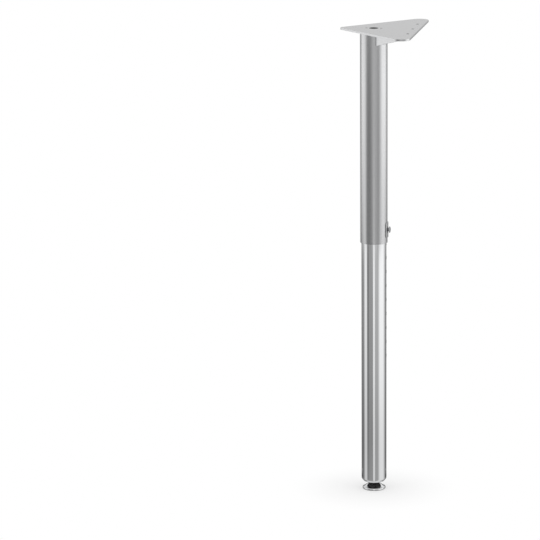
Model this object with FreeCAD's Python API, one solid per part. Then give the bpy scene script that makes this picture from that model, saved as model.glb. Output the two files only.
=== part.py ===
"""Height adjustable table leg: a chromed lower tube that slides in a silver upper tube.

The frame: +Z is up, the origin is on the floor under the tubes' axis. +X points from the tube to
the long edge of the corner plate, which is also the side that the lock screw faces. The plate is
symmetric about the XZ plane. Lengths are in millimetres.
"""
import FreeCAD, Part
import math
import os

Vector = FreeCAD.Vector
UP = Vector(0, 0, 1)
INWARD = Vector(1, 0, 0)
WING_ANGLE = 45

# Corner plate: a right isosceles triangle, seen from above
plate_top = 833.0
plate_thickness = 3.4
plate_side = 203.2
plate_side_to_axis = 44.5
plate_corner_radius = 10.0
plate_tip_radius = 16.0
access_hole_diameter = 16.0
paint_hole_diameter = 4.0
paint_hole_spacing = 26.0
screw_hole_diameter = 5.0
screw_hole_pitch = 56.5
screw_hole_inset = 12.2

# Gussets between the plate and the upper tube
gusset_thickness = 3.4
gusset_height = 24.0
gusset_nose = 2.0
gusset_setback = 10.0
gusset_offset = 10.0
weld_gap = 0.05

# Upper tube
upper_diameter = 48.3
upper_wall = 1.65
upper_length = 378.0

# Lower tube
slide_gap = 0.25
lower_wall = 1.65
lower_overlap = 124.0
taper_height = 4.4
taper_depth = 4.0
hole_diameter = 6.8
hole_pitch = 25.4
holes_below_lock = 9
holes_above_lock = 1

# Lock: a saddle on the upper tube and a button head screw, slackened off
lock_rise = 23.4
saddle_thickness = 1.5
saddle_width = 20.0
saddle_height = 27.0
saddle_corner_radius = 3.0
screw_shank_diameter = 6.2
screw_clearance = 0.05
screw_head_diameter = 11.0
screw_head_height = 2.3
screw_head_dome = 0.9
screw_socket_width = 4.0
screw_socket_depth = 1.4
screw_slack = 1.6
screw_tip_in_wall = 1.3
screw_tip_chamfer = 0.5

# Glide plug in the top of the lower tube
glide_flange = 3.0
glide_depth = 18.0
glide_wall = 2.0
glide_gap = 0.12
plug_gap = 0.05

# Threaded insert in the bottom of the lower tube
insert_height = 14.0
insert_web = 5.0
insert_boss_wall = 5.0
insert_rim = 2.0
insert_recess = 1.7
thread_clearance = 0.05
stop_gap = 0.3

# Levelling foot
foot_diameter = 41.2
foot_rim_height = 3.4
foot_rim_round = 1.4
foot_cone_height = 7.4
foot_top_margin = 1.5
foot_wall = 1.2
pad_proud = 0.8
stud_diameter = 7.9
stud_flange_width = 2.05
stud_flange_height = 2.2
stud_engagement = 13.0
foot_travel = 15.0
foot_nut_wall = 2.5
foot_nut_height = 4.6

# Places that follow from the sizes above
upper_radius = upper_diameter / 2
upper_bore = upper_radius - upper_wall
lower_radius = upper_bore - slide_gap
lower_bore = lower_radius - lower_wall
plate_under = plate_top - plate_thickness
sleeve_mouth = plate_under - upper_length
lock_height = sleeve_mouth + lock_rise
lower_top = sleeve_mouth + lower_overlap
saddle_radius = upper_radius + saddle_thickness
foot_rim_top = pad_proud + foot_rim_height
foot_top = foot_rim_top + foot_cone_height
foot_nut_top = foot_top + foot_nut_height
insert_bottom = foot_nut_top + stop_gap
lower_end = insert_bottom - insert_recess
stud_top = insert_bottom + foot_travel + stud_engagement
stud_radius = stud_diameter / 2
stud_hole = stud_radius + thread_clearance
stud_flange_radius = stud_radius + stud_flange_width
foot_rim = foot_diameter / 2
foot_corner = foot_rim_top - foot_rim_round - foot_wall / 2
plate_apex = -plate_side_to_axis * math.sqrt(2)
plate_long_edge = plate_apex + plate_side / math.sqrt(2)
plate_half_width = plate_side / math.sqrt(2)
screw_line = plate_long_edge - screw_hole_inset
gusset_reach = (plate_long_edge - gusset_setback) * math.sqrt(2) + gusset_offset


def rounded_outline(corners, radii):
    """Closed wire through the corners, each one rounded by an arc of its own radius."""
    starts, edges = [], []
    count = len(corners)
    for i, corner in enumerate(corners):
        back = (corners[i - 1] - corner).normalize()
        ahead = (corners[(i + 1) % count] - corner).normalize()
        half = back.getAngle(ahead) / 2
        reach = radii[i] / math.tan(half)
        middle = (back + ahead).normalize()
        bulge = corner + middle * (radii[i] / math.sin(half) - radii[i])
        starts.append((corner + back * reach, bulge, corner + ahead * reach))
    for i, (first, bulge, last) in enumerate(starts):
        edges.append(Part.Arc(first, bulge, last).toShape())
        edges.append(Part.LineSegment(last, starts[(i + 1) % count][0]).toShape())
    return Part.Wire(edges)


def polygon_face(points):
    """Flat face bounded by straight lines through the points."""
    return Part.Face(Part.makePolygon(points + points[:1]))


def turned(profile):
    """Solid of revolution about Z of a profile given as (radius, height) points."""
    face = polygon_face([Vector(radius, 0, height) for radius, height in profile])
    return face.revolve(Vector(), UP, 360)


def tube(outer, inner, bottom, top):
    """Straight round tube about Z."""
    return turned([(inner, bottom), (outer, bottom), (outer, top), (inner, top)])


def cross_hole(diameter, height):
    """Drill along +X through one wall of a tube, at a height."""
    return Part.makeCylinder(diameter / 2, saddle_radius * 2, Vector(0, 0, height), INWARD)


def drill(solid, diameter, x, y):
    """The solid with a vertical hole through the plate at a place."""
    below = Vector(x, y, plate_under - plate_thickness)
    return solid.cut(Part.makeCylinder(diameter / 2, plate_thickness * 3, below))


def hexagon(width, height, base):
    """Hexagonal prism about Z, across its flats."""
    corner = width / 2 / math.cos(math.pi / 6)
    turns = [i * math.pi / 3 for i in range(6)]
    points = [Vector(corner * math.cos(a), corner * math.sin(a), base) for a in turns]
    return polygon_face(points).extrude(UP * height)


def corner_plate():
    """Triangular plate with round corners, an access hole, paint holes and screw holes."""
    corners = [
        Vector(plate_apex, 0, plate_under),
        Vector(plate_long_edge, -plate_half_width, plate_under),
        Vector(plate_long_edge, plate_half_width, plate_under),
    ]
    radii = [plate_corner_radius, plate_tip_radius, plate_tip_radius]
    plate = Part.Face(rounded_outline(corners, radii)).extrude(UP * plate_thickness)
    plate = drill(plate, access_hole_diameter, 0, 0)
    for side in (-1, 1):
        plate = drill(plate, paint_hole_diameter, side * paint_hole_spacing / 2, 0)
    for step in (-1, 0, 1):
        plate = drill(plate, screw_hole_diameter, screw_line, step * screw_hole_pitch)
    return plate


def gusset(side):
    """Web under one wing of the plate, parallel to that wing's edge and welded to the tube."""
    face = side * gusset_offset - gusset_thickness / 2
    outline = polygon_face([
        Vector(0, face, plate_under),
        Vector(gusset_reach, face, plate_under),
        Vector(gusset_reach, face, plate_under - gusset_nose),
        Vector(upper_radius, face, plate_under - gusset_height),
        Vector(0, face, plate_under - gusset_height),
    ])
    web = outline.extrude(Vector(0, gusset_thickness, 0))
    web.rotate(Vector(), UP, side * WING_ANGLE)
    clear = Part.makeCylinder(
        upper_radius + weld_gap, upper_length, Vector(0, 0, sleeve_mouth)
    )
    return web.cut(clear)


def upper_tube():
    """Outer tube, with the hole that the lock screw passes."""
    body = tube(upper_radius, upper_bore, sleeve_mouth, plate_under)
    return body.cut(cross_hole(screw_shank_diameter + 2 * screw_clearance, lock_height))


def lock_saddle():
    """Curved plate on the outer tube that holds the lock screw's thread."""
    ring = tube(
        saddle_radius,
        upper_radius + weld_gap,
        lock_height - saddle_height,
        lock_height + saddle_height,
    )
    half_width, half_height = saddle_width / 2, saddle_height / 2
    corners = [
        Vector(0, y, lock_height + z)
        for y, z in (
            (-half_width, -half_height),
            (half_width, -half_height),
            (half_width, half_height),
            (-half_width, half_height),
        )
    ]
    window = Part.Face(rounded_outline(corners, [saddle_corner_radius] * 4))
    patch = ring.common(window.extrude(INWARD * saddle_radius * 2))
    return patch.cut(cross_hole(screw_shank_diameter + 2 * screw_clearance, lock_height))


def lock_screw():
    """Button head screw with a hexagon socket, standing out by its slack."""
    seat = saddle_radius + screw_slack
    tip = lower_radius - screw_tip_in_wall + screw_slack
    shank = screw_shank_diameter / 2
    head = screw_head_diameter / 2
    screw = turned([
        (0, tip),
        (shank - screw_tip_chamfer, tip),
        (shank, tip + screw_tip_chamfer),
        (shank, seat),
        (head, seat),
        (head, seat + screw_head_height - screw_head_dome),
        (head - screw_head_dome, seat + screw_head_height),
        (0, seat + screw_head_height),
    ])
    socket_floor = seat + screw_head_height - screw_socket_depth
    screw = screw.cut(hexagon(screw_socket_width, screw_head_height, socket_floor))
    screw.rotate(Vector(), Vector(0, 1, 0), 90)
    screw.translate(Vector(0, 0, lock_height))
    return screw


def lower_tube():
    """Inner tube with a rolled-in bottom end and a row of lock holes."""
    taper_top = lower_end + taper_height
    body = turned([
        (lower_bore - taper_depth, lower_end),
        (lower_radius - taper_depth, lower_end),
        (lower_radius, taper_top),
        (lower_radius, lower_top),
        (lower_bore, lower_top),
        (lower_bore, taper_top),
    ])
    for step in range(-holes_below_lock, holes_above_lock + 1):
        body = body.cut(cross_hole(hole_diameter, lock_height + step * hole_pitch))
    return body


def top_glide():
    """Plug on the inner tube's top end, which guides it in the outer tube."""
    skirt = lower_bore - plug_gap
    flange = upper_bore - glide_gap
    return turned([
        (0, lower_top),
        (skirt - glide_wall, lower_top),
        (skirt - glide_wall, lower_top - glide_depth),
        (skirt, lower_top - glide_depth),
        (skirt, lower_top),
        (flange, lower_top),
        (flange, lower_top + glide_flange),
        (0, lower_top + glide_flange),
    ])


def foot_insert():
    """Threaded insert seated in the rolled-in end of the inner tube."""
    slope = taper_depth / taper_height
    rise = insert_bottom - lower_end
    bottom_radius = lower_bore - taper_depth + slope * rise - plug_gap * 2
    shoulder = lower_end + taper_height + plug_gap * 2
    wall = lower_bore - plug_gap
    boss = stud_hole + insert_boss_wall
    top = insert_bottom + insert_height
    floor = insert_bottom + insert_web
    return turned([
        (stud_hole, insert_bottom),
        (bottom_radius, insert_bottom),
        (wall, shoulder),
        (wall, top),
        (wall - insert_rim, top),
        (wall - insert_rim, floor),
        (boss, floor),
        (boss, top),
        (stud_hole, top),
    ])


def foot_shell():
    """Chromed cup of the foot: an upright rim under a shallow cone."""
    top = stud_flange_radius + foot_top_margin
    return turned([
        (foot_rim - foot_wall, pad_proud),
        (foot_rim, pad_proud),
        (foot_rim, foot_rim_top - foot_rim_round),
        (foot_rim - foot_rim_round, foot_rim_top),
        (top, foot_top),
        (stud_hole, foot_top),
        (stud_hole, foot_top - foot_wall),
        (top - foot_wall / 2, foot_top - foot_wall),
        (foot_rim - foot_rim_round - foot_wall / 2, foot_rim_top - foot_wall),
        (foot_rim - foot_wall, foot_corner),
    ])


def foot_pad():
    """Plastic glide under the cup, proud of its rim, with a boss under the stud."""
    outer = foot_rim - foot_wall - plug_gap
    top = foot_corner - plug_gap
    boss_top = foot_top - foot_wall - stud_flange_height
    return turned([
        (0, 0),
        (outer - pad_proud, 0),
        (outer, pad_proud),
        (outer, top),
        (stud_flange_radius, top),
        (stud_flange_radius, boss_top),
        (0, boss_top),
    ])


def foot_stud():
    """Threaded stud, held in the cup by a flange at its lower end."""
    flange_top = foot_top - foot_wall
    return turned([
        (0, flange_top - stud_flange_height),
        (stud_flange_radius, flange_top - stud_flange_height),
        (stud_flange_radius, flange_top),
        (stud_radius, flange_top),
        (stud_radius, stud_top),
        (0, stud_top),
    ])


def foot_nut():
    """Hexagon nut that clamps the cup to the stud and takes a spanner."""
    below = Vector(0, 0, foot_top - foot_nut_height)
    bore = Part.makeCylinder(stud_hole, foot_nut_height * 3, below)
    return hexagon(2 * (stud_hole + foot_nut_wall), foot_nut_height, foot_top).cut(bore)


PIECES = {
    "corner_plate": corner_plate,
    "gusset_left": lambda: gusset(1),
    "gusset_right": lambda: gusset(-1),
    "upper_tube": upper_tube,
    "lock_saddle": lock_saddle,
    "lock_screw": lock_screw,
    "lower_tube": lower_tube,
    "top_glide": top_glide,
    "foot_insert": foot_insert,
    "foot_shell": foot_shell,
    "foot_pad": foot_pad,
    "foot_stud": foot_stud,
    "foot_nut": foot_nut,
}

os.makedirs("parts", exist_ok=True)
for name, make in PIECES.items():
    shape = make()
    if not shape.isValid() or len(shape.Solids) != 1:
        raise ValueError(f"{name} isn't one valid solid")
    shape.Solids[0].exportStep(f"parts/{name}.step")
    print(f"{name}: {shape.Volume:.0f} mm3")
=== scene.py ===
# %% [markdown]
# # A height adjustable table leg
#
# The leg is a chromed tube that slides in a silver lacquered one. A triangular plate carries it under
# a table's corner, a screw locks its height and a foot levels it. The frame holds every piece at its
# real size. This lesson gives the pieces the finish, the soft edges and the small forms that a
# close look shows, and then lights them as a studio lights metal.

# %% Load the frame
import math

import bmesh
import bpy
import numpy as np
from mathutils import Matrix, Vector, geometry


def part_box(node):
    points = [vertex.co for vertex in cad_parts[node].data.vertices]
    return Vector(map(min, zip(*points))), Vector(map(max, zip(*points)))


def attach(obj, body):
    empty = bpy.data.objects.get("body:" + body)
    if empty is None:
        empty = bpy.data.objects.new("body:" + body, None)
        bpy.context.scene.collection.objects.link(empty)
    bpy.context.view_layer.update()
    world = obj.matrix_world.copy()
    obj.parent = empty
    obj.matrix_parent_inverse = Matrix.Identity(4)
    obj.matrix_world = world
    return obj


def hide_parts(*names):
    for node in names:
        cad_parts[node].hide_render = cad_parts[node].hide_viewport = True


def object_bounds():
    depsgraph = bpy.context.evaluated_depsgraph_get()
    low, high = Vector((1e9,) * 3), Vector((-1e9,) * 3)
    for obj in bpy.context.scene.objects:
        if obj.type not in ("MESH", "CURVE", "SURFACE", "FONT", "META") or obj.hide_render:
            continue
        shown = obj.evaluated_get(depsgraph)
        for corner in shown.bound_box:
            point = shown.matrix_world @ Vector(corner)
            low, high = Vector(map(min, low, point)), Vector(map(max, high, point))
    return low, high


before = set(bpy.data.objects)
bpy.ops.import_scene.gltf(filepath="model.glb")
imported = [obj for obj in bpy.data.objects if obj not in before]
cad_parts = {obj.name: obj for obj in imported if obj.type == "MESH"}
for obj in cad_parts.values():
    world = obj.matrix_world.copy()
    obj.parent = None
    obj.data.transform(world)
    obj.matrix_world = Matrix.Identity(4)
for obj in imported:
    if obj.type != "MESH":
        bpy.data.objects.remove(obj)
cad_low, cad_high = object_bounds()
MM = 0.001
print("frame box in mm:", np.round(np.array(cad_high - cad_low) / MM, 1))

# %% [markdown]
# ## Sizes
#
# The outer sizes are read from the frame, so a piece always lies where the frame has it. What a box
# can't tell, such as a wall or a fillet, is a named value in millimetres, turned into metres here.

# %% Read the sizes


def span(node):
    """Lowest and highest corner of a node, as arrays in metres."""
    low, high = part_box(node)
    return np.array(low), np.array(high)


upper_low, upper_high = span("upper_tube")
lower_low, lower_high = span("lower_tube")
plate_low, plate_high = span("corner_plate")
saddle_low, saddle_high = span("lock_saddle")
screw_low, screw_high = span("lock_screw")
shell_low, shell_high = span("foot_shell")
pad_high = span("foot_pad")[1]
stud_low, stud_high = span("foot_stud")
nut_low, nut_high = span("foot_nut")

upper_radius = upper_high[0]
lower_radius = lower_high[0]
plate_under = plate_low[2]
plate_thickness = plate_high[2] - plate_low[2]
lock_height = (screw_low[2] + screw_high[2]) / 2
tube_wall = 1.65 * MM
print("upper tube mm:", round(2 * upper_radius / MM, 2), "lower tube mm:", round(2 * lower_radius / MM, 2))

# %% [markdown]
# ## Finishes from noise
#
# No finish is quite even. Each one below lets noise drive its colour, its roughness and a bump, so a
# few helpers set up the nodes once. The noise reads Object coordinates, which are metres in the
# part's own frame, so a grain keeps its size.

# %% Helpers for a finish
# Most values of a noise factor lie between these two, so a finish is spread over that range
MIDDLE = (0.3, 0.7)


def new_finish(name):
    """An empty node material with its Principled shader, as (material, tree, shader)."""
    material = bpy.data.materials.new(name)
    material.use_nodes = True
    tree = material.node_tree
    return material, tree, tree.nodes["Principled BSDF"]


def noise(tree, scale, detail, stretch=(1.0, 1.0, 1.0)):
    """Noise factor in Object space. The stretch multiplies the coordinates axis by axis."""
    place = tree.nodes.new("ShaderNodeTexCoord")
    mapping = tree.nodes.new("ShaderNodeMapping")
    mapping.inputs["Scale"].default_value = stretch
    texture = tree.nodes.new("ShaderNodeTexNoise")
    texture.inputs["Scale"].default_value = scale
    texture.inputs["Detail"].default_value = detail
    tree.links.new(place.outputs["Object"], mapping.inputs["Vector"])
    tree.links.new(mapping.outputs["Vector"], texture.inputs["Vector"])
    return texture.outputs["Fac"]


def drive_value(tree, factor, socket, low, high):
    """The socket runs from low to high as the factor runs over the middle of its range."""
    spread = tree.nodes.new("ShaderNodeMapRange")
    spread.inputs["From Min"].default_value = MIDDLE[0]
    spread.inputs["From Max"].default_value = MIDDLE[1]
    spread.inputs["To Min"].default_value = low
    spread.inputs["To Max"].default_value = high
    tree.links.new(factor, spread.inputs["Value"])
    tree.links.new(spread.outputs["Result"], socket)


def drive_colour(tree, factor, socket, dark, light):
    """The socket runs between two colours as the factor runs over the middle of its range."""
    ramp = tree.nodes.new("ShaderNodeValToRGB")
    for element, position, level in zip(ramp.color_ramp.elements, MIDDLE, (dark, light)):
        element.position = position
        element.color = (*level, 1.0)
    tree.links.new(factor, ramp.inputs["Fac"])
    tree.links.new(ramp.outputs["Color"], socket)


def drive_bump(tree, factor, shader, strength, depth):
    """The factor becomes a bump of that depth in metres."""
    bump = tree.nodes.new("ShaderNodeBump")
    bump.inputs["Strength"].default_value = strength
    bump.inputs["Distance"].default_value = depth
    tree.links.new(factor, bump.inputs["Height"])
    tree.links.new(bump.outputs["Normal"], shader.inputs["Normal"])


print("noise factors are spread from", MIDDLE[0], "to", MIDDLE[1])

# %% [markdown]
# ## Silver lacquer
#
# The plate, the gussets and the upper tube are steel with a satin silver lacquer. Aluminium flakes
# lie in the film, so it reflects like a metal but softly. A metallic shader with a middling
# roughness gives that. Fine noise stands for the flakes, and a faint coarser bump for the skin that a
# sprayed film dries to.

# %% Make the lacquer


def silver_lacquer():
    """Satin silver lacquer: flakes in the colour and roughness, a faint sprayed skin in the bump."""
    material, tree, shader = new_finish("silver_lacquer")
    flakes = noise(tree, scale=2600, detail=2)
    skin = noise(tree, scale=420, detail=3)
    shader.inputs["Metallic"].default_value = 1.0
    drive_colour(tree, flakes, shader.inputs["Base Color"], (0.545, 0.547, 0.553), (0.600, 0.602, 0.608))
    drive_value(tree, skin, shader.inputs["Roughness"], 0.205, 0.235)
    drive_bump(tree, skin, shader, strength=0.05, depth=0.02 * MM)
    return material


lacquer = silver_lacquer()
print("finish:", lacquer.name)

# %% [markdown]
# ## Chrome plate
#
# The lower tube and the foot's cup are polished and chromed. The tube was drawn and polished along
# its length, and the plating keeps very fine lines that run the same way. Noise that is stretched
# sixty times along Z gives such lines, in a roughness that stays low.

# %% Make the chrome


def polished_chrome():
    """Polished chrome with faint lines along Z."""
    material, tree, shader = new_finish("polished_chrome")
    lines = noise(tree, scale=900, detail=3, stretch=(1.0, 1.0, 1 / 60))
    shader.inputs["Metallic"].default_value = 1.0
    drive_colour(tree, lines, shader.inputs["Base Color"], (0.845, 0.852, 0.860), (0.890, 0.896, 0.903))
    drive_value(tree, lines, shader.inputs["Roughness"], 0.05, 0.11)
    drive_bump(tree, lines, shader, strength=0.04, depth=0.01 * MM)
    return material


chrome = polished_chrome()
print("finish:", chrome.name)

# %% [markdown]
# ## Zinc, nylon and shaded steel
#
# The screw, the stud and the nut are zinc plated: greyer than chrome, with a mottled, slightly rough
# skin. The glide, the insert and the pad are moulded black nylon with a fine spark texture. The tubes'
# bores, the cut faces of the lock holes and the walls of the plate's holes take a very dark, dull steel:
# painted shade, so that the insides of the tubes and the holes read dark.

# %% Make the zinc, the nylon and the shaded steel


def zinc_skin():
    """Zinc plated steel with a mottled grey skin."""
    material, tree, shader = new_finish("zinc_skin")
    mottle = noise(tree, scale=700, detail=4)
    shader.inputs["Metallic"].default_value = 1.0
    drive_colour(tree, mottle, shader.inputs["Base Color"], (0.40, 0.405, 0.415), (0.55, 0.555, 0.565))
    drive_value(tree, mottle, shader.inputs["Roughness"], 0.26, 0.42)
    drive_bump(tree, mottle, shader, strength=0.12, depth=0.02 * MM)
    return material


def moulded_nylon():
    """Moulded black nylon with a spark-eroded grain."""
    material, tree, shader = new_finish("moulded_nylon")
    grain = noise(tree, scale=1800, detail=3)
    drive_colour(tree, grain, shader.inputs["Base Color"], (0.020, 0.020, 0.021), (0.045, 0.045, 0.047))
    drive_value(tree, grain, shader.inputs["Roughness"], 0.45, 0.62)
    drive_bump(tree, grain, shader, strength=0.25, depth=0.04 * MM)
    return material


def painted_shade_steel():
    """Very dark, dull steel: painted shade inside a tube or a hole, with the blotches of a rolled skin."""
    material, tree, shader = new_finish("painted_shade_steel")
    blotches = noise(tree, scale=300, detail=4)
    shader.inputs["Metallic"].default_value = 1.0
    # Painted shade: a base colour far darker than steel's, so that bores and hole walls read dark
    drive_colour(tree, blotches, shader.inputs["Base Color"], (0.07, 0.07, 0.072), (0.14, 0.138, 0.136))
    drive_value(tree, blotches, shader.inputs["Roughness"], 0.42, 0.58)
    drive_bump(tree, blotches, shader, strength=0.2, depth=0.03 * MM)
    return material


zinc = zinc_skin()
nylon = moulded_nylon()
shaded = painted_shade_steel()
print("finishes:", zinc.name, nylon.name, shaded.name)

# %% [markdown]
# ## From arrays to a piece
#
# Each surface below is one or more grids of points: rows by columns by three coordinates. The faces
# of a grid follow from its size alone, so one helper makes them all. Grids that meet share places on
# their borders, and merging the doubles closes the seams and the poles.

# %% Number the faces of a grid


def quads(rows, cols, wrap_rows, wrap_cols):
    """Corner numbers of a grid's faces: this place, next column, next column of next row, next row."""
    i = np.arange(rows if wrap_rows else rows - 1)[:, None]
    j = np.arange(cols if wrap_cols else cols - 1)[None, :]
    up = (i + 1) % rows
    on = (j + 1) % cols
    corners = [i * cols + j, i * cols + on, up * cols + on, up * cols + j]
    return np.stack(corners, axis=-1).reshape(-1, 4)


def closed(grid):
    """A grid block that closes on itself both ways, like a ring's skin."""
    return grid, True, True


def round_about(grid):
    """A grid block that closes along its columns only, like a pipe's skin."""
    return grid, False, True


def patch(grid):
    """A grid block with four free borders."""
    return grid, False, False


print("faces of a patch of 3 by 4 points:", len(quads(3, 4, False, False)))

# %% Make a piece of grids
WELD_DISTANCE = 1e-7
SMOOTH_ANGLE = math.radians(38)


def make_piece(name, blocks, body, finish, stands_for=(), extra_faces=None, outward=True):
    """One mesh of all the blocks, with doubles merged, that rides on a body and takes a slot's finish."""
    points = []
    faces = []
    count = 0
    for grid, wrap_rows, wrap_cols in blocks:
        rows, cols = grid.shape[:2]
        points.append(grid.reshape(-1, 3))
        faces.extend((quads(rows, cols, wrap_rows, wrap_cols) + count).tolist())
        count += rows * cols
    if extra_faces is not None:
        cap_points, cap_faces = extra_faces
        points.append(cap_points)
        faces.extend((cap_faces + count).tolist())
    mesh = bpy.data.meshes.new(name)
    mesh.from_pydata(np.concatenate(points).tolist(), [], faces)
    shape = bmesh.new()
    shape.from_mesh(mesh)
    bmesh.ops.remove_doubles(shape, verts=shape.verts, dist=WELD_DISTANCE)
    if outward:
        bmesh.ops.recalc_face_normals(shape, faces=shape.faces)
    shape.to_mesh(mesh)
    shape.free()
    mesh.shade_smooth()
    mesh.set_sharp_from_angle(angle=SMOOTH_ANGLE)
    mesh.materials.append(finish)
    piece = bpy.data.objects.new(name, mesh)
    bpy.context.scene.collection.objects.link(piece)
    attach(piece, body)
    if stands_for:
        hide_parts(*stands_for)
    print(name, "faces:", len(mesh.polygons))
    return piece


def soften(piece, width, segments=2):
    """Rounds the sharp edges of a piece by a bevel of that width, with flat faces kept flat."""
    bevel = piece.modifiers.new("soft_edges", "BEVEL")
    bevel.width = width
    bevel.segments = segments
    bevel.limit_method = "ANGLE"
    bevel.angle_limit = SMOOTH_ANGLE
    bevel.harden_normals = True


print("edges are sharp over degrees:", round(math.degrees(SMOOTH_ANGLE)))

# %% [markdown]
# ## Round shapes
#
# Most of the leg is round about one axis, so a profile of radius and height carried round Z gives a
# tube, a cup or a pad. Turned and pressed metal has no sharp corners, and a highlight shows it. So
# the corners of a profile become arcs before it is carried round, each with a radius of its own.

# %% Turn and round a profile


def around(radius, angle, height):
    """Points about Z: the cosine and sine of the angle times the radius, and the height."""
    radius, angle, height = np.broadcast_arrays(radius, angle, height)
    return np.stack([radius * np.cos(angle), radius * np.sin(angle), height], axis=-1)


def full_turn(count):
    """Angles of one turn, without the last, which would double the first."""
    return np.arange(count) * 2 * np.pi / count


def revolve(profile, count):
    """A profile of (radius, height) points carried round Z: one row for each point."""
    profile = np.asarray(profile)
    return around(profile[:, :1], full_turn(count)[None, :], profile[:, 1:])


def rounded(corners, radii, steps=6, ring=True):
    """The corners of a flat outline, each replaced by an arc of its own radius.

    The arc touches both sides at radius / tan(half the corner's angle) from the corner. Its points
    turn from one touching point to the other about the arc's centre by spherical interpolation.
    """
    corners = np.asarray(corners, float)
    share = np.linspace(0, 1, steps + 1)[:, None]
    parts = []
    for i, (corner, radius) in enumerate(zip(corners, radii)):
        if radius == 0 or (not ring and i in (0, len(corners) - 1)):
            parts.append(corner[None, :])
            continue
        back = corners[i - 1] - corner
        ahead = corners[(i + 1) % len(corners)] - corner
        back = back / np.linalg.norm(back)
        ahead = ahead / np.linalg.norm(ahead)
        half = np.arccos(back @ ahead) / 2
        middle = (back + ahead) / np.linalg.norm(back + ahead)
        centre = corner + middle * radius / np.sin(half)
        first = corner + back * radius / np.tan(half) - centre
        last = corner + ahead * radius / np.tan(half) - centre
        sweep = np.pi - 2 * half
        arc = (np.sin((1 - share) * sweep) * first + np.sin(share * sweep) * last) / np.sin(sweep)
        parts.append(centre + arc)
    return np.concatenate(parts)


print("turn of four points:", around(1, full_turn(4), 0).round().tolist())

# %% [markdown]
# ## The corner plate
#
# A right-angled triangle of sheet steel with round corners lies under the table's corner. Three screw
# holes run along its long edge, and a large hole between two small ones lies over the tube. A
# boolean cut would leave long thin faces, so the outline and the holes are loops of points, and a
# constrained triangulation fills what lies between them.

# %% Fill a flat sheet
CIRCLE_STEPS = 40
FILL_INSIDE = 1


def circle(centre, radius):
    """Points of a circle in the sheet's own plane."""
    angle = full_turn(CIRCLE_STEPS)
    return np.stack([centre[0] + radius * np.cos(angle), centre[1] + radius * np.sin(angle)], axis=-1)


def sheet_blocks(outline, holes, thickness, place):
    """Walls and caps of a flat sheet with round holes.

    The sheet lies at (u, v, w): u and v in its plane, w from 0 to its thickness. Each loop makes a
    wall, and the triangles between the loops make both caps. place turns (u, v, w) into the frame.
    """
    loops = [outline] + [circle(centre, radius) for centre, radius in holes]
    walls = []
    ties = []
    first = 0
    for loop in loops:
        low = np.column_stack([loop, np.zeros(len(loop))])
        high = np.column_stack([loop, np.full(len(loop), thickness)])
        walls.append(round_about(place(np.stack([low, high]))))
        here = first + np.arange(len(loop))
        ties.extend(zip(here.tolist(), np.roll(here, -1).tolist()))
        first += len(loop)
    flat = [Vector(point) for point in np.concatenate(loops)]
    found = geometry.delaunay_2d_cdt(flat, ties, [], FILL_INSIDE, WELD_DISTANCE)
    spots = np.array(found[0])
    triangles = np.array(found[2])
    middles = spots[triangles].mean(axis=1)
    keep = np.ones(len(triangles), bool)
    for centre, radius in holes:
        keep &= np.linalg.norm(middles - np.array(centre), axis=1) > radius
    triangles = triangles[keep]
    under = place(np.column_stack([spots, np.zeros(len(spots))]))
    over = place(np.column_stack([spots, np.full(len(spots), thickness)]))
    caps = np.concatenate([under, over])
    return walls, (caps, np.concatenate([triangles[:, ::-1], triangles + len(spots)]))


def shade_hole_walls(piece, holes):
    """Gives the painted shade to the walls of round holes: the faces with a middle inside a hole's circle."""
    piece.data.materials.append(shaded)
    middles = np.array([face.center[:2] for face in piece.data.polygons])
    reach = [np.linalg.norm(middles - np.array(centre), axis=1) / radius for centre, radius in holes]
    cut = np.min(reach, axis=0) < 1
    piece.data.polygons.foreach_set("material_index", cut.astype(int).tolist())
    return int(cut.sum())


print("points round a hole of a sheet:", CIRCLE_STEPS)

# %% Make the corner plate
SHEET_EDGE = 0.25 * MM
side_to_axis = 44.5 * MM
apex_radius = 10 * MM
tip_radius = 16 * MM
screw_inset = 12.2 * MM
screw_pitch = 56.5 * MM
screw_hole = 2.5 * MM
access_hole = 8 * MM
small_hole = 2 * MM
small_hole_reach = 13 * MM

plate_apex = -side_to_axis * math.sqrt(2)
plate_edge = plate_high[0]
plate_half_width = plate_edge - plate_apex


def plate_place(uvw):
    """Plate sheet in the frame: u is X, v is Y and w is up from the underside."""
    return uvw + np.array([0, 0, plate_under])


plate_outline = rounded(
    [(plate_apex, 0), (plate_edge, -plate_half_width), (plate_edge, plate_half_width)],
    [apex_radius, tip_radius, tip_radius],
    steps=16,
)
plate_holes = [((0, 0), access_hole)]
plate_holes += [((reach, 0), small_hole) for reach in (-small_hole_reach, small_hole_reach)]
plate_holes += [((plate_edge - screw_inset, step * screw_pitch), screw_hole) for step in (-1, 0, 1)]
plate_walls, plate_caps = sheet_blocks(plate_outline, plate_holes, plate_thickness, plate_place)
plate = make_piece(
    "corner_plate_sheet", plate_walls, "upper", lacquer, ["corner_plate"], plate_caps
)
soften(plate, SHEET_EDGE)
# The walls of the plate's holes take the painted shade
print("bare faces in the plate's holes:", shade_hole_walls(plate, plate_holes))

# %% [markdown]
# ## The gussets
#
# Two webs stiffen the plate. Each runs from the tube towards a tip of the plate, parallel to the edge
# beside it, and tapers to a small nose. It is the same kind of sheet, set on edge.

# %% Make the gussets
gusset_thickness = 3.4 * MM
gusset_height = 24 * MM
gusset_nose = 2 * MM
gusset_offset = 10 * MM
gusset_setback = 10 * MM
gusset_reach = (plate_edge - gusset_setback) * math.sqrt(2) + gusset_offset
GUSSET_EDGE = 0.3 * MM
HALF = math.sqrt(0.5)


def gusset_frame(side):
    """Level directions of a gusset: along it, and across it away from the axis."""
    along = np.array([HALF, side * HALF, 0])
    across = np.array([-side * HALF, HALF, 0]) * side
    return along, across


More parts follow.
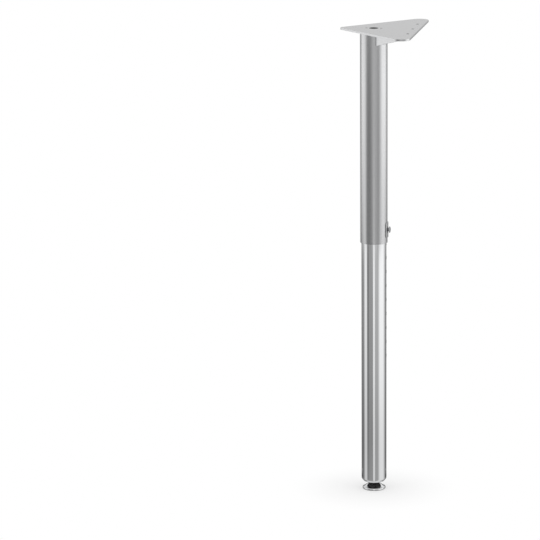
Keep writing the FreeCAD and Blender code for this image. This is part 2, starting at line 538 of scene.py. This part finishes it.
def gusset_place(side):
    """Place of a gusset's sheet: u runs along it, v is up and w runs across it, away from the axis."""
    along, across = gusset_frame(side)
    inner_face = gusset_offset - gusset_thickness / 2

    def place(uvw):
        u, v, w = uvw[..., :1], uvw[..., 1:2], uvw[..., 2:]
        return u * along + v * np.array([0, 0, 1.0]) + (w + inner_face) * across

    return place


def tube_reach(offset):
    """How far along a gusset the tube's skin lies, at an offset from the axis."""
    return math.sqrt(upper_radius**2 - offset**2)


def make_gusset(name, side, node):
    """One web with a flat end.

    The end reaches the tube with its outer face, so its inner edge lies in the tube's wall.
    """
    start = tube_reach(gusset_offset + gusset_thickness / 2)
    outline = np.array([
        (start, plate_under - gusset_height),
        (upper_radius, plate_under - gusset_height),
        (gusset_reach, plate_under - gusset_nose),
        (gusset_reach, plate_under),
        (start, plate_under),
    ])
    walls, caps = sheet_blocks(outline, [], gusset_thickness, gusset_place(side))
    web = make_piece(name, walls, "upper", lacquer, [node], caps)
    soften(web, GUSSET_EDGE)
    return web


make_gusset("gusset_left_web", 1, "gusset_left")
make_gusset("gusset_right_web", -1, "gusset_right")
print("gussets reach from the axis by mm:", round(gusset_reach / MM, 1))

# %% [markdown]
# ## Weld seams
#
# The tube, the plate and the gussets are welded. A fillet weld is a bead with a convex face, and its
# legs lie on the two sheets that it joins. The bead's ripples come from the pool of metal that moves on
# step by step. A section is carried along the seam, and its leg swells and shrinks with the ripples.

# %% Make the weld seams
WELD_LEG = 2.2 * MM
WELD_RIPPLE = 0.07
RIPPLE_PITCH = 1.7 * MM
STEPS_PER_RIPPLE = 8
RING_BEAD_STEPS = 640
SECTION_STEPS = 7
bead_turn = np.linspace(0, np.pi / 2, SECTION_STEPS)


def ripple(length):
    """Share by which the leg swells at a length along the seam: a cosine of the ripples' pitch."""
    return 1 + WELD_RIPPLE * np.cos(2 * np.pi * length / RIPPLE_PITCH)


def ring_bead(radius, height):
    """Bead round a tube under a plate: corner, then a quarter turn from the plate to the tube."""
    angle = full_turn(RING_BEAD_STEPS)
    leg = WELD_LEG * ripple(angle * radius)
    out = np.concatenate([[0], np.cos(bead_turn)])[:, None]
    down = np.concatenate([[0], np.sin(bead_turn)])[:, None]
    return closed(around(radius + out * leg[None, :], angle[None, :], height - down * leg[None, :]))


def straight_bead(start, end, leg_one, leg_two):
    """Bead along a straight corner: a quarter turn between two leg directions, closed at both ends."""
    length = np.linalg.norm(end - start)
    run = np.linspace(0, length, int(length / RIPPLE_PITCH * STEPS_PER_RIPPLE))
    rise = np.sqrt(np.clip(np.minimum(run, length - run) / WELD_LEG, 0, 1))
    leg = (WELD_LEG * ripple(run) * rise)[:, None, None]
    turn = np.concatenate([[0], np.cos(bead_turn)])[:, None] * leg_one
    turn = turn + np.concatenate([[0], np.sin(bead_turn)])[:, None] * leg_two
    path = start + (end - start) * (run / length)[:, None]
    return round_about(path[:, None, :] + leg * turn[None, :, :])


def gusset_beads(side):
    """Beads on a gusset's inner face: along the plate, and down the tube."""
    along, across = gusset_frame(side)
    down = np.array([0, 0, -1.0])
    inner = gusset_offset - gusset_thickness / 2
    root = tube_reach(inner) * along + inner * across + np.array([0, 0, plate_under])
    nose = gusset_reach * along + inner * across + np.array([0, 0, plate_under])
    foot = root + down * gusset_height
    return [straight_bead(root, nose, -across, down), straight_bead(root, foot, -across, along)]


weld_blocks = [ring_bead(upper_radius, plate_under)] + gusset_beads(1) + gusset_beads(-1)
make_piece("weld_seams", weld_blocks, "upper", lacquer)

# %% [markdown]
# ## Tubes with holes
#
# Both tubes have round holes in one side. A boolean would spoil the even grid that a mirror finish
# needs, so the wall is laid out with room for the holes: one long grid goes round the back, and
# each hole has a square cell of its own in front. In a cell, rings of points change from the hole's
# circle to the cell's square. Solidify then gives the skin its wall, inwards.

# %% Tube helpers
CELL_STEPS = 16
RING_STEPS = 9
RING_CROWDING = 1.6
BACK_STEPS = 112


def hole_cell(radius, height, hole, cell):
    """Grid from a cell's square border to its hole: border times t plus circle times 1 - t.

    t falls from 1 to 0 by a power above 1, so the rings crowd towards the hole.
    """
    side = np.linspace(-1, 1, CELL_STEPS + 1)[:-1]
    one = np.ones_like(side)
    square = np.concatenate([
        np.column_stack([side, -one]),
        np.column_stack([one, side]),
        np.column_stack([-side, one]),
        np.column_stack([-one, -side]),
    ])
    ring = square / np.linalg.norm(square, axis=1, keepdims=True)
    t = (np.linspace(1, 0, RING_STEPS + 1) ** RING_CROWDING)[:, None, None]
    flat = t * square * cell / 2 + (1 - t) * ring * hole
    return round_about(around(radius, flat[..., 0] / radius, height + flat[..., 1]))


def tube_skin(profile, heights, hole, cell, top):
    """Blocks of a tube's outer skin: a profile to the first cell, a cell for each hole, then the top."""
    radius = profile[-1, 0]
    half_angle = cell / 2 / radius
    steps = np.linspace(-1, 1, CELL_STEPS + 1)
    front = half_angle * steps
    back = np.linspace(half_angle, 2 * np.pi - half_angle, BACK_STEPS + 1)
    cell_rows = (np.array(heights)[:, None] + steps * cell / 2).ravel()
    rows_low = np.vstack([profile, [radius, cell_rows[0]]])
    rows_high = np.array([[radius, cell_rows[-1]], [radius, top]])
    rows_cells = np.column_stack([np.full(cell_rows.size, radius), cell_rows])
    rows = np.concatenate([rows_low, rows_cells, rows_high])
    blocks = [patch(around(rows[:, :1], back[None, :], rows[:, 1:]))]
    for part in (rows_low, rows_high):
        blocks.append(patch(around(part[:, :1], front[None, :], part[:, 1:])))
    return blocks + [hole_cell(radius, height, hole, cell) for height in heights]


def give_wall(piece, thickness, inner_shade=None, shade_cut_faces=False):
    """Thickens a skin inwards. A finish of painted shade, if given, goes on the inner wall, and when asked on
    the cut faces too.
    """
    wall = piece.modifiers.new("wall", "SOLIDIFY")
    wall.thickness = thickness
    wall.offset = -1
    wall.use_even_offset = True
    if inner_shade is not None:
        piece.data.materials.append(inner_shade)
        wall.material_offset = 1
        wall.material_offset_rim = int(shade_cut_faces)


print("points round a hole of a tube:", 4 * CELL_STEPS)

# %% [markdown]
# ## The upper tube
#
# A plain tube, welded to the plate. Its one hole, for the lock screw, is behind the saddle. The cut
# mouth is deburred, so its edges are soft.

# %% Make the upper tube
MOUTH_EDGE = 0.4 * MM
lock_hole = 3.45 * MM
lock_cell = 16 * MM

upper_profile = np.array([(upper_radius, upper_low[2]), (upper_radius, lock_height - lock_cell)])
upper_blocks = tube_skin(upper_profile, [lock_height], lock_hole, lock_cell, upper_high[2])
upper_tube = make_piece(
    "upper_tube_wall", upper_blocks, "upper", lacquer, ["upper_tube"], outward=False
)
# The tube's inside takes the painted shade
give_wall(upper_tube, tube_wall, inner_shade=shaded)
soften(upper_tube, MOUTH_EDGE)

# %% [markdown]
# ## The lower tube
#
# The chromed tube has a row of lock holes at one inch. Its bottom end is rolled in round the foot's
# insert, so the profile starts with a slope and a rounded shoulder.

# %% Make the lower tube
HOLE_EDGE = 0.12 * MM
hole_pitch = 25.4 * MM
holes_below_lock = 9
holes_above_lock = 1
lock_hole_radius = 3.4 * MM
taper_height = 4.4 * MM
taper_depth = 4.0 * MM
shoulder_radius = 4.0 * MM

lower_end = lower_low[2]
hole_heights = lock_height + hole_pitch * np.arange(-holes_below_lock, holes_above_lock + 1)
lower_profile = rounded(
    [
        (lower_radius - taper_depth, lower_end),
        (lower_radius, lower_end + taper_height),
        (lower_radius, hole_heights[0] - hole_pitch),
    ],
    [0, shoulder_radius, 0],
    steps=8,
    ring=False,
)
lower_blocks = tube_skin(lower_profile, hole_heights, lock_hole_radius, hole_pitch, lower_high[2])
lower_tube = make_piece(
    "lower_tube_wall", lower_blocks, "lower", chrome, ["lower_tube"], outward=False
)
# The tube's inside and its cut faces take the painted shade
give_wall(lower_tube, tube_wall, inner_shade=shaded, shade_cut_faces=True)
soften(lower_tube, HOLE_EDGE)
print("lock holes at mm:", np.round(hole_heights / MM, 1))

# %% [markdown]
# ## The lock saddle
#
# A curved plate on the upper tube gives the lock screw a longer thread. It is a rounded rectangle
# bent to the tube. Rings of points change from the screw's hole to the outline, as in a cell above.

# %% Make the saddle
saddle_corner = 3 * MM
saddle_thickness = 1.45 * MM
SADDLE_EDGE = 0.4 * MM
SADDLE_STEPS = 128
SADDLE_RINGS = 13


def resample(loop, count):
    """Evenly spaced points along a closed loop, by its length."""
    ends = np.vstack([loop, loop[:1]])
    run = np.concatenate([[0], np.cumsum(np.linalg.norm(np.diff(ends, axis=0), axis=1))])
    spots = np.arange(count) / count * run[-1]
    return np.column_stack([np.interp(spots, run, ends[:, axis]) for axis in (0, 1)])


def saddle_skin():
    """Grid from the outline to the hole, laid on a cylinder: the angle's sine is the sideways place."""
    radius = saddle_high[0]
    half_width = saddle_high[1]
    half_height = (saddle_high[2] - saddle_low[2]) / 2
    corners = [(-half_width, -half_height), (half_width, -half_height)]
    corners += [(half_width, half_height), (-half_width, half_height)]
    outline = resample(rounded(corners, [saddle_corner] * 4), SADDLE_STEPS)
    ring = outline / np.linalg.norm(outline, axis=1, keepdims=True)
    t = np.linspace(1, 0, SADDLE_RINGS)[:, None, None]
    flat = t * outline + (1 - t) * ring * lock_hole
    return round_about(around(radius, np.arcsin(flat[..., 0] / radius), lock_height + flat[..., 1]))


saddle = make_piece(
    "lock_saddle_plate", [saddle_skin()], "upper", lacquer, ["lock_saddle"], outward=False
)
give_wall(saddle, saddle_thickness)
soften(saddle, SADDLE_EDGE, segments=3)

# %% [markdown]
# ## The lock screw
#
# A button head screw with a hexagon socket. The whole screw is one grid about its axis. Round
# rows make the shank and the domed head, and the socket's rows take a radius that depends on the
# angle: half the width across flats, divided by the cosine of the angle from the nearest flat.

# %% Make the lock screw
SCREW_STEPS = 96
DOME_STEPS = 9
ROWS_PER_PITCH = 10
screw_turn = full_turn(SCREW_STEPS)
shank_radius = 3.1 * MM
head_radius = (screw_high[2] - screw_low[2]) / 2
head_height = 2.3 * MM
head_rim = 1.0 * MM
head_edge = 0.2 * MM
dome_top_radius = 3.0 * MM
tip_chamfer = 0.5 * MM
thread_pitch = 1.0 * MM
thread_depth = 0.5 * MM
socket_flats = 4.0 * MM
socket_depth = 1.4 * MM
socket_lip = 0.15 * MM


def hexagon(flats, angle):
    """Radius of a hexagon at an angle: half its flats over the cosine of the angle from a flat."""
    return flats / 2 / np.cos((angle + np.pi / 6) % (np.pi / 3) - np.pi / 6)


def thread_rows(low, high, radius, depth, pitch, angle):
    """Helical V thread: the radius drops with the distance from the crest, which climbs a pitch a turn."""
    height = np.arange(low, high, pitch / ROWS_PER_PITCH)[:, None]
    phase = height / pitch - angle[None, :] / (2 * np.pi)
    groove = np.abs(2 * (phase - np.floor(phase)) - 1)
    return around(radius - depth * groove, angle[None, :], height)


def ring_row(radius, angle, height):
    """One row of a turned piece."""
    return around(np.asarray(radius), angle, height)[None, ...]


def screw_grid():
    """Rows from the tip along the shank, over the head and down into the socket, about Z."""
    tip = screw_low[0]
    seat = screw_high[0] - head_height
    top = screw_high[0]
    dome = np.linspace(0, np.pi / 2, DOME_STEPS)[:, None]
    mouth = hexagon(socket_flats, screw_turn)
    dome_reach = head_radius - dome_top_radius
    dome_rows = around(
        head_radius - dome_reach * (1 - np.cos(dome)),
        screw_turn[None, :],
        seat + head_rim + (head_height - head_rim) * np.sin(dome),
    )
    return np.concatenate([
        ring_row(0, screw_turn, tip),
        ring_row(shank_radius - tip_chamfer, screw_turn, tip),
        thread_rows(tip + tip_chamfer, seat, shank_radius, thread_depth, thread_pitch, screw_turn),
        ring_row(shank_radius, screw_turn, seat),
        ring_row(head_radius - head_edge, screw_turn, seat),
        ring_row(head_radius, screw_turn, seat + head_edge),
        dome_rows,
        ring_row(mouth + socket_lip, screw_turn, top),
        ring_row(mouth, screw_turn, top - socket_lip),
        ring_row(mouth, screw_turn, top - socket_depth),
        ring_row(0, screw_turn, top - socket_depth),
    ])


def lay_along_x(grid):
    """Turns a grid about Z so that its axis is X, at the lock's height."""
    return np.stack([grid[..., 2], grid[..., 1], lock_height - grid[..., 0]], axis=-1)


screw_block = round_about(lay_along_x(screw_grid()))
make_piece("lock_screw_button", [screw_block], "lock", zinc, ["lock_screw"])

# %% [markdown]
# ## The foot's cup
#
# The foot's cup is pressed from sheet, with an upright rim and a shallow cone, and chromed. It is a
# closed section with rounded corners, carried round the axis. So it has an inside as well, which
# shows when the leg is lifted.

# %% Make the cup
FOOT_STEPS = 160
cup_wall = 1.2 * MM
cup_rim_height = 3.4 * MM
cup_lip = 1.6 * MM
cup_top_radius = 7.5 * MM
cup_hole = 4.0 * MM
# Radii of the section's corners, in their order
cup_radii = np.array([0.15, 1.0, 1.2, 1.2, 0.9, 0.2, 0.2, 0.2, 0.4, 0.2]) * MM


def cup_profile():
    """Closed section of the cup: up the rim, up the cone to the hole, and back inside."""
    rim = shell_high[0]
    base = shell_low[2]
    rim_top = base + cup_rim_height
    top = shell_high[2]
    corners = [
        (rim - cup_wall, base),
        (rim, base),
        (rim, rim_top),
        (rim - cup_lip, rim_top),
        (cup_top_radius, top),
        (cup_hole, top),
        (cup_hole, top - cup_wall),
        (cup_top_radius - cup_wall / 2, top - cup_wall),
        (rim - cup_lip - cup_wall / 2, rim_top - cup_wall),
        (rim - cup_wall, rim_top - cup_lip),
    ]
    return rounded(corners, cup_radii, steps=7)


cup_block = closed(revolve(cup_profile(), FOOT_STEPS))
make_piece("foot_cup", [cup_block], "foot", chrome, ["foot_shell"])

# %% [markdown]
# ## Pad, stud and nut
#
# A black pad under the cup spares the floor, and a nut clamps the cup to a threaded stud. The pad is
# a turned profile. The stud has a real thread, because it shows when the foot is screwed out. The
# nut is a hexagon, and a cone takes off its corners.

# %% Make the pad, the stud and the nut
STUD_STEPS = 64
NUT_STEPS = 96
pad_edge = 0.8 * MM
pad_step = 2.15 * MM
pad_step_edge = 0.2 * MM
stud_radius = 3.95 * MM
stud_flange = 6.0 * MM
stud_flange_height = 2.2 * MM
stud_pitch = 1.25 * MM
stud_thread = 0.65 * MM
nut_flats = 13.0 * MM
nut_bore = 4.0 * MM
nut_chamfer = 0.45 * MM
nut_face_share = 0.97


def pad_profile():
    """Section of the pad from the axis under the pad to the axis on its boss."""
    outer = pad_high[0]
    boss = pad_high[2]
    corners = [(0, 0), (outer, 0), (outer, pad_step), (stud_flange, pad_step), (stud_flange, boss), (0, boss)]
    return rounded(corners, [0, pad_edge, pad_step_edge, 0, 0, 0], steps=6, ring=False)


def stud_grid():
    """Rows of the stud: its flange, then a thread up to a blunt top."""
    turn = full_turn(STUD_STEPS)
    low, top = stud_low[2], stud_high[2]
    shoulder = low + stud_flange_height
    return np.concatenate([
        ring_row(0, turn, low),
        ring_row(stud_flange, turn, low),
        ring_row(stud_flange, turn, shoulder),
        ring_row(stud_radius, turn, shoulder),
        thread_rows(shoulder, top - stud_thread, stud_radius, stud_thread, stud_pitch, turn),
        ring_row(stud_radius - stud_thread, turn, top),
        ring_row(0, turn, top),
    ])


def nut_grid():
    """Closed section of a nut: the hexagon, cut to a circle just inside its flats at both faces."""
    turn = full_turn(NUT_STEPS)
    low, top = nut_low[2], nut_high[2]
    hexa = hexagon(nut_flats, turn)
    face = np.minimum(hexa, nut_flats / 2 * nut_face_share)
    return np.concatenate([
        ring_row(nut_bore, turn, low),
        ring_row(face, turn, low),
        ring_row(hexa, turn, low + nut_chamfer),
        ring_row(hexa, turn, top - nut_chamfer),
        ring_row(face, turn, top),
        ring_row(nut_bore, turn, top),
    ])


pad_block = round_about(revolve(pad_profile(), FOOT_STEPS))
make_piece("foot_glide_pad", [pad_block], "foot", nylon, ["foot_pad"])
make_piece("foot_threaded_stud", [round_about(stud_grid())], "foot", zinc, ["foot_stud"])
make_piece("foot_clamp_nut", [closed(nut_grid())], "foot", zinc, ["foot_nut"])

# %% [markdown]
# ## Pieces that stay as the frame has them
#
# The glide plug and the insert sit inside the tubes. Their solids are right as they are, so they
# only take the nylon.

# %% Finish the inner pieces
for node in ("top_glide", "foot_insert"):
    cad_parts[node].material_slots[0].material = nylon
    print("finished:", node)

# %% [markdown]
# ## The studio's panels
#
# Polished metal has almost no colour of its own: it shows what stands round it. A studio puts light
# panels beside a tube and dark ones between them, and the tube shows them as upright stripes. Here one
# wall stands round the leg. It has tiers at several heights, and named panels on each tier. An upright
# tube shows the low tiers, a flat plate the high ones, so each can have its own light.

# %% Name the panels
CAMERA_AZIMUTH = math.radians(-80.603)

# Degrees to the right of the camera where a panel begins, is full, is still full, and ends
PANELS = {
    "front_half": (-120, -112, 112, 120),
    "left_wedge": (-163, -159, -149, -145),
    "right_wedge": (141, 145, 157, 161),
    "left_shade": (-150, -135, -95, -70),
    "right_shade": (70, 95, 135, 155),
    "left_softbox": (-136, -114, -86, -60),
    "left_gap": (-68, -48, -32, -8),
    "front_haze": (-24, 0, 20, 40),
    "right_softbox": (42, 72, 108, 138),
    "right_gap": (24, 36, 52, 84),
    "back_strip": (165, 171, 189, 195),
    "front_wall": (-50, -46, 40, 54),
    "left_strip": (-110, -88, -72, -60),
    "left_edge": (-66, -60, -53, -48),
    "front_strip": (-11, -6, 7, 11),
    "right_fill": (7, 11, 32, 46),
    "right_strip": (34, 54, 94, 128),
}
WEDGES = {"front_half": 0.75, "left_wedge": 0.75, "right_wedge": 0.85}
SHADES = {"left_shade": 0.5, "right_shade": 0.5}
PLATE_PANELS = {"left_softbox": 1.9, "left_gap": 0.0, "front_haze": 0.5, "right_softbox": 2.3}
SLEEVE_PANELS = {
    "left_softbox": 0.8, "left_gap": 0.3, "front_haze": 0.7, "right_softbox": 0.85, "right_gap": 0.3,
}
MOUTH_PANELS = {
    "back_strip": 1.0, "front_wall": 0.35, "left_strip": 0.95, "left_edge": 0.15, "front_strip": 1.0,
    "right_fill": 0.5, "right_strip": 1.1,
}
FOOT_PANELS = {
    "back_strip": 0.75, "front_wall": 0.25, "left_strip": 0.65, "left_edge": 0.2, "front_strip": 0.75,
    "right_fill": 0.35, "right_strip": 0.8,
}
FLOOR_PANELS = {
    "back_strip": 0.2, "front_wall": 0.35, "left_strip": 0.65, "front_strip": 0.7, "right_strip": 0.75,
}

# Tiers of the wall, top first: height in metres, glow between the panels, glow of the panels
wall_tiers = [
    (6.5, 0.9, {}), (5.2, 0.6, WEDGES), (3.0, 0.6, WEDGES), (2.4, 0.8, SHADES), (0.1, 0.8, SHADES),
    (0.0, 0.45, PLATE_PANELS), (-0.78, 0.5, SLEEVE_PANELS), (-0.83, 0.3, MOUTH_PANELS),
    (-1.7, 0.15, FOOT_PANELS), (-2.3, 0.3, FLOOR_PANELS), (-6.0, 0.3, FLOOR_PANELS),
]
print("panels:", len(PANELS), "tiers:", len(wall_tiers))

# %% Work out the wall's glow


def panel_share(panel, degrees):
    """How much of a panel shows at an angle: 0 outside, straight lines at its soft edges, 1 inside."""
    places = PANELS[panel]
    turned = (degrees - places[0]) % 360 + places[0]
    return np.interp(turned, places, (0, 1, 1, 0))


def tier_glow(between, panels, degrees):
    """Glow along one tier: each panel is laid over what came before it, by its share."""
    level = np.full_like(degrees, between)
    for panel, glow_level in panels.items():
        share = panel_share(panel, degrees)
        level = level * (1 - share) + glow_level * share
    return level


def wall_glow(angle, height):
    """Glow of the wall: straight lines in height between the tiers above and below."""
    degrees = np.degrees(angle - CAMERA_AZIMUTH)
    tiers = wall_tiers[::-1]
    heights = [tier[0] for tier in tiers]
    glows = [tier_glow(tier[1], tier[2], degrees) for tier in tiers]
    shares = [np.interp(height, heights, share) for share in np.eye(len(tiers))]
    return np.sum([share * level for share, level in zip(shares, glows)], axis=0)


print("glow ahead of the mouth:", wall_glow(np.array([CAMERA_AZIMUTH]), np.array([-1.0])).round(2))

# %% [markdown]
# ## The reflection wall
#
# The wall is a drum of points, and each point keeps its glow in an attribute that the light's
# strength reads. Only reflections see it, so it neither lights the floor nor hides the leg. It is
# closed at its top and bottom, so that no reflection slips past it.

# %% Make the reflection wall
WALL_RADIUS = 6.0
WALL_TURN_STEPS = 720
WALL_RISE_STEPS = 150


def glow_finish(name):
    """Light of the strength that the attribute holds, never sampled as a lamp."""
    material = bpy.data.materials.new(name)
    material.use_nodes = True
    tree = material.node_tree
    tree.nodes.clear()
    level = tree.nodes.new("ShaderNodeAttribute")
    level.attribute_name = "glow"
    light = tree.nodes.new("ShaderNodeEmission")
    output = tree.nodes.new("ShaderNodeOutputMaterial")
    tree.links.new(level.outputs["Fac"], light.inputs["Strength"])
    tree.links.new(light.outputs["Emission"], output.inputs["Surface"])
    material.cycles.emission_sampling = "NONE"
    return material


def stage_object(name, grid, wrap_cols, material):
    """A studio object from one grid. It isn't part of the leg."""
    rows, cols = grid.shape[:2]
    mesh = bpy.data.meshes.new(name)
    mesh.from_pydata(grid.reshape(-1, 3).tolist(), [], quads(rows, cols, False, wrap_cols).tolist())
    mesh.materials.append(material)
    thing = bpy.data.objects.new(name, mesh)
    bpy.context.scene.collection.objects.link(thing)
    return thing


def glow_panel(name, grid, wrap_cols, glow_levels):
    """A panel with a glow for each of its points, which only reflections see."""
    panel = stage_object(name, grid, wrap_cols, glow_finish(name))
    glow = panel.data.attributes.new("glow", "FLOAT", "POINT")
    glow.data.foreach_set("value", glow_levels.ravel().astype(np.float32))
    panel.visible_camera = False
    panel.visible_diffuse = False
    panel.visible_transmission = False
    panel.visible_shadow = False
    return panel


wall_turn = full_turn(WALL_TURN_STEPS)[None, :]
wall_rise = np.linspace(wall_tiers[-1][0], wall_tiers[0][0], WALL_RISE_STEPS)
wall_rise = np.concatenate([wall_rise[:1], wall_rise, wall_rise[-1:]])[:, None]
wall_reach = np.full_like(wall_rise, WALL_RADIUS)
wall_reach[[0, -1]] = 0
wall_levels = wall_glow(wall_turn, wall_rise)
glow_panel("reflection_wall", around(wall_reach, wall_turn, wall_rise), True, wall_levels)
print("wall glow at most:", round(float(wall_levels.max()), 2))

# %% [markdown]
# ## Dark cards
#
# A bright cup on a bright floor has no edge. Photographers set small black cards close to it, just
# out of the picture, and the metal takes a dark side from them. Two cards stand by the foot, a little
# lighter towards the top, and ride on it.

# %% Make the dark cards
CARD_RISE_STEPS = 10
CARD_TURN_STEPS = 25
CARD_RADIUS = 60 * MM
CARD_DEGREES = (112, 160)
CARD_HEIGHTS = (8 * MM, 24 * MM)
CARD_GLOW = (0.05, 0.3)

card_rise = np.linspace(*CARD_HEIGHTS, CARD_RISE_STEPS)[:, None]
card_spread = np.radians(np.linspace(*CARD_DEGREES, CARD_TURN_STEPS))[None, :]
for word, side in (("left", -1), ("right", 1)):
    card_turn = CAMERA_AZIMUTH + side * card_spread
    card_grid = around(CARD_RADIUS, card_turn, card_rise)
    card_levels = np.interp(card_grid[..., 2], CARD_HEIGHTS, CARD_GLOW)
    card = glow_panel("dark_card_" + word, card_grid, False, card_levels)
    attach(card, "foot")
print("dark cards at mm:", CARD_RADIUS / MM)

# %% [markdown]
# ## The floor
#
# The floor is plain white, and keeps a faint shadow near the foot. It rides on the foot, so the leg
# stands on it at every height. It can't be seen from below, where it would hide the foot's pad.

# %% Make the floor
FLOOR_RADIUS = 12.0
FLOOR_STEPS = 96
FLOOR_GAP = 0.2 * MM
FLOOR_COLOUR = (0.9, 0.9, 0.9, 1.0)
FLOOR_ROUGHNESS = 0.9
SHADOW_RADIUS = 0.16
SHADOW_SHARE = 0.5


def math_of(tree, operation, first, second):
    """Result of a math node on two sockets."""
    node = tree.nodes.new("ShaderNodeMath")
    node.operation = operation
    tree.links.new(first, node.inputs[0])
    tree.links.new(second, node.inputs[1])
    return node.outputs["Value"]


def mix_of(tree, share, first, second):
    """Blend of two shaders: the second one by the share."""
    node = tree.nodes.new("ShaderNodeMixShader")
    for socket, source in zip(node.inputs, (share, first, second)):
        tree.links.new(source, socket)
    return node.outputs["Shader"]


def floor_finish():
    """White floor. The camera sees some shading near the foot, white further out, nothing from below."""
    material, tree, shader = new_finish("studio_floor")
    shader.inputs["Base Color"].default_value = FLOOR_COLOUR
    shader.inputs["Roughness"].default_value = FLOOR_ROUGHNESS
    place = tree.nodes.new("ShaderNodeTexCoord")
    reach = tree.nodes.new("ShaderNodeVectorMath")
    reach.operation = "LENGTH"
    fade = tree.nodes.new("ShaderNodeMapRange")
    fade.interpolation_type = "SMOOTHSTEP"
    fade.inputs["From Max"].default_value = SHADOW_RADIUS
    fade.inputs["To Min"].default_value = 1 - SHADOW_SHARE
    fade.inputs["To Max"].default_value = 1.0
    path = tree.nodes.new("ShaderNodeLightPath")
    white = tree.nodes.new("ShaderNodeEmission")
    face = tree.nodes.new("ShaderNodeNewGeometry")
    clear = tree.nodes.new("ShaderNodeBsdfTransparent")
    tree.links.new(place.outputs["Object"], reach.inputs[0])
    tree.links.new(reach.outputs["Value"], fade.inputs["Value"])
    share = math_of(tree, "MULTIPLY", fade.outputs["Result"], path.outputs["Is Camera Ray"])
    above = mix_of(tree, share, shader.outputs["BSDF"], white.outputs["Emission"])
    both = mix_of(tree, face.outputs["Backfacing"], above, clear.outputs["BSDF"])
    tree.links.new(both, tree.nodes["Material Output"].inputs["Surface"])
    return material


floor_rows = np.array([FLOOR_RADIUS, 0.0])[:, None]
floor_grid = around(floor_rows, full_turn(FLOOR_STEPS)[None, :], -FLOOR_GAP)
floor = stage_object("studio_floor", floor_grid, True, floor_finish())
floor.visible_glossy = False
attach(floor, "foot")
print("floor radius m:", FLOOR_RADIUS)

# %% [markdown]
# ## World and lamps
#
# The world is white where the camera, a reflection or glass sees it, and a little dimmer where it
# lights a matt surface. A large soft lamp from above and one from each side add some shape.

# %% Light the studio
AMBIENT = 0.75
# Place and side in metres, and power in watts
LAMPS = {
    "lamp_above": ((0.3, -0.6, 3.0), 2.0, 12),
    "lamp_left": ((-2.2, -1.6, 1.2), 1.5, 8),
    "lamp_right": ((2.4, -0.8, 1.2), 1.5, 8),
}


def make_world():
    """White world: strength 1 for what is seen, AMBIENT for what is lit."""
    world = bpy.data.worlds.new("studio")
    bpy.context.scene.world = world
    world.use_nodes = True
    tree = world.node_tree
    back = tree.nodes["Background"]
    back.inputs["Color"].default_value = (1.0, 1.0, 1.0, 1.0)
    path = tree.nodes.new("ShaderNodeLightPath")
    level = tree.nodes.new("ShaderNodeMapRange")
    level.inputs["To Min"].default_value = AMBIENT
    level.inputs["To Max"].default_value = 1.0
    seen = math_of(tree, "MAXIMUM", path.outputs["Is Camera Ray"], path.outputs["Is Glossy Ray"])
    seen = math_of(tree, "MAXIMUM", seen, path.outputs["Is Transmission Ray"])
    tree.links.new(seen, level.inputs["Value"])
    tree.links.new(level.outputs["Result"], back.inputs["Strength"])


def soft_lamp(name, place, size, power):
    """Square area lamp that faces the middle of the leg and isn't seen in reflections."""
    lamp = bpy.data.lights.new(name, "AREA")
    lamp.size = size
    lamp.energy = power
    thing = bpy.data.objects.new(name, lamp)
    thing.location = place
    aim = Vector((0, 0, cad_high[2] / 2)) - Vector(place)
    thing.rotation_mode = "QUATERNION"
    thing.rotation_quaternion = aim.to_track_quat("-Z", "Y")
    thing.visible_glossy = False
    bpy.context.scene.collection.objects.link(thing)


make_world()
for lamp_name, (lamp_place, lamp_size, lamp_power) in LAMPS.items():
    soft_lamp(lamp_name, lamp_place, lamp_size, lamp_power)
bpy.context.scene.view_settings.view_transform = "Standard"
print("lamps:", len(bpy.data.lights))

# %% [markdown]
# ## The camera
#
# The picture looks down on the leg from in front, a little to the right of the plate's middle, so that
# the plate is seen almost on edge. A long lens keeps the tubes nearly parallel. The camera pans a little
# to set the leg right of the middle, and rolls so that the leg stays upright there.

# %% Set the camera
CAMERA_DISTANCE = 6.0
PLATE_ELEVATION = math.radians(8.611)
CAMERA_PAN = math.radians(101.154)
CAMERA_TILT = math.radians(-12.589)
CAMERA_ROLL = math.radians(-0.419)
CAMERA_LENS = 231.43


def make_camera():
    """Camera that looks along pan and tilt, turned by the roll about its own axis."""
    data = bpy.data.cameras.new("camera")
    data.lens = CAMERA_LENS
    camera = bpy.data.objects.new("camera", data)
    bpy.context.scene.collection.objects.link(camera)
    camera.location = (
        CAMERA_DISTANCE * math.cos(CAMERA_AZIMUTH),
        CAMERA_DISTANCE * math.sin(CAMERA_AZIMUTH),
        cad_high[2] + CAMERA_DISTANCE * math.tan(PLATE_ELEVATION),
    )
    level = math.cos(CAMERA_TILT)
    ahead = Vector((level * math.cos(CAMERA_PAN), level * math.sin(CAMERA_PAN), math.sin(CAMERA_TILT)))
    camera.rotation_euler = ahead.to_track_quat("-Z", "Y").to_euler()
    camera.rotation_euler.rotate_axis("Z", CAMERA_ROLL)
    bpy.context.scene.camera = camera
    return camera


camera = make_camera()
print("camera at m:", np.round(np.array(camera.location), 3))
